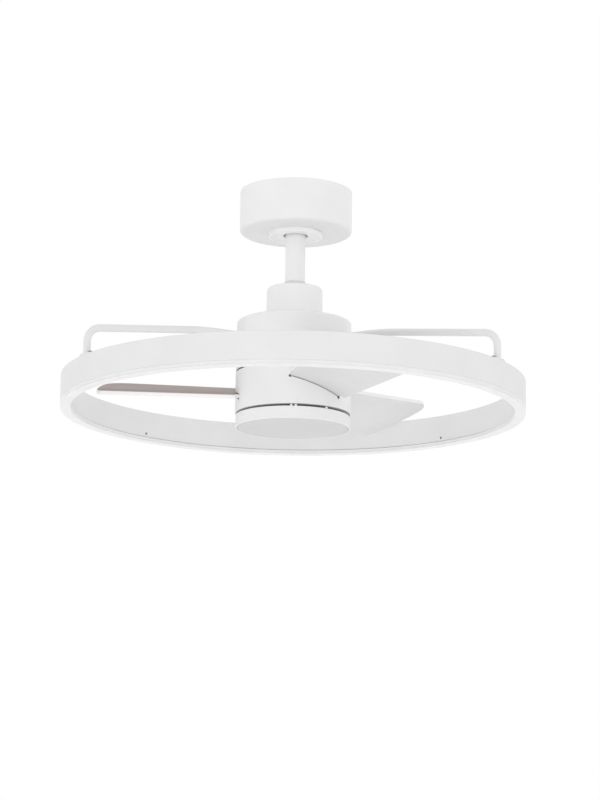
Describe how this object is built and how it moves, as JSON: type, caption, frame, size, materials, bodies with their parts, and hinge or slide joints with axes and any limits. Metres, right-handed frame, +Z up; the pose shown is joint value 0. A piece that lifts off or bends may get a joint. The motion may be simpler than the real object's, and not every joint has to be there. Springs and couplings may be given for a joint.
{
  "type": "orbital ceiling fan",
  "caption": "Ceiling fan whose pitched blades turn on a drum inside a fixed ring of light, held on bent tube arms, with a round lamp below the hub.",
  "frame": {"origin": "centre of the bracket's top face, where it meets the ceiling", "axes": "+Z up, along the downrod and the shaft, from the lamp towards the ceiling; +Y towards the first ring arm, away from the picture's viewer"},
  "size_m": [0.6, 0.6, 0.3162],
  "materials": {
    "white_metal": "white powder coat, satin, fine even texture",
    "white_plastic": "moulded white ABS, satin",
    "ring_opal": "extruded opal acrylic, satin",
    "lens_opal": "moulded opal acrylic, satin",
    "blade_board": "white lacquer below and on the edges, taupe wood-look laminate on top",
    "zinc_steel": "zinc-plated steel, satin",
    "cast_aluminium": "die-cast, as cast",
    "cast_iron": "cast, dark",
    "laminations": "stacked silicon steel sheets",
    "copper_windings": "enamelled copper wire",
    "magnets": "sintered, matt",
    "nylon": "moulded natural nylon",
    "black_plastic": "moulded black ABS",
    "circuit_board": "glass epoxy board with parts",
    "white_board": "aluminium-backed board, white solder mask"
  },
  "bodies": {
    "ceiling_mount": {"ceiling_bracket": "zinc_steel", "canopy_shell": "white_metal", "canopy_trim_ring": "white_plastic", "canopy_screw_1": "zinc_steel", "canopy_screw_2": "zinc_steel", "receiver_box": "black_plastic", "terminal_block": "nylon"},
    "ball_seat": {"ball_seat": "nylon"},
    "hanging_frame": {"hanger_ball": "white_plastic", "ball_cross_pin": "zinc_steel", "downrod": "white_metal", "shaft_yoke": "cast_iron", "clevis_pin": "zinc_steel", "cotter_pin": "zinc_steel", "yoke_set_screw_1": "zinc_steel", "yoke_set_screw_2": "zinc_steel", "coupling_cover": "white_metal", "motor_shaft": "zinc_steel", "upper_housing": "white_metal", "arm_plate": "zinc_steel", "arm_clamp_plate": "zinc_steel", "housing_base": "zinc_steel", "control_board": "circuit_board", "ring_channel": "white_metal", "led_strip": "white_board", "ring_diffuser": "ring_opal", "stator_core": "laminations", "stator_windings": "copper_windings", "upper_inner_race": "zinc_steel", "lower_inner_race": "zinc_steel", "lamp_pan": "white_metal", "led_board": "white_board", "lamp_lens": "lens_opal", "shaft_nut": "zinc_steel", "arm_clamp_bolt_1": "zinc_steel", "ring_arm_1": "white_metal", "arm_clamp_bolt_2": "zinc_steel", "ring_arm_2": "white_metal", "arm_clamp_bolt_3": "zinc_steel", "ring_arm_3": "white_metal", "ring_screw_1": "zinc_steel", "ring_screw_2": "zinc_steel", "ring_screw_3": "zinc_steel", "ring_screw_4": "zinc_steel"},
    "rotor": {"hub_shell": "white_metal", "hub_lid": "cast_aluminium", "rotor_can": "cast_aluminium", "magnet_ring": "magnets", "upper_outer_race": "zinc_steel", "lower_outer_race": "zinc_steel", "upper_bearing_balls": "zinc_steel", "lower_bearing_balls": "zinc_steel", "blade_1": "blade_board", "blade_2": "blade_board", "blade_3": "blade_board", "blade_clamp_1": "cast_aluminium", "blade_clamp_2": "cast_aluminium", "blade_clamp_3": "cast_aluminium"}
  },
  "joints": [
    {"name": "ball_swing_x", "type": "hinge", "parent": "ceiling_mount", "child": "ball_seat", "pos_m": [0, 0, -0.03], "axis": [1, 0, 0], "range_deg": [-3.5, 3.5]},
    {"name": "ball_swing_y", "type": "hinge", "parent": "ball_seat", "child": "hanging_frame", "pos_m": [0, 0, -0.03], "axis": [0, 1, 0], "range_deg": [-3.5, 3.5]},
    {"name": "rotor_spin", "type": "hinge", "parent": "hanging_frame", "child": "rotor", "pos_m": [0, 0, -0.271], "axis": [0, 0, 1], "continuous": true}
  ]
}
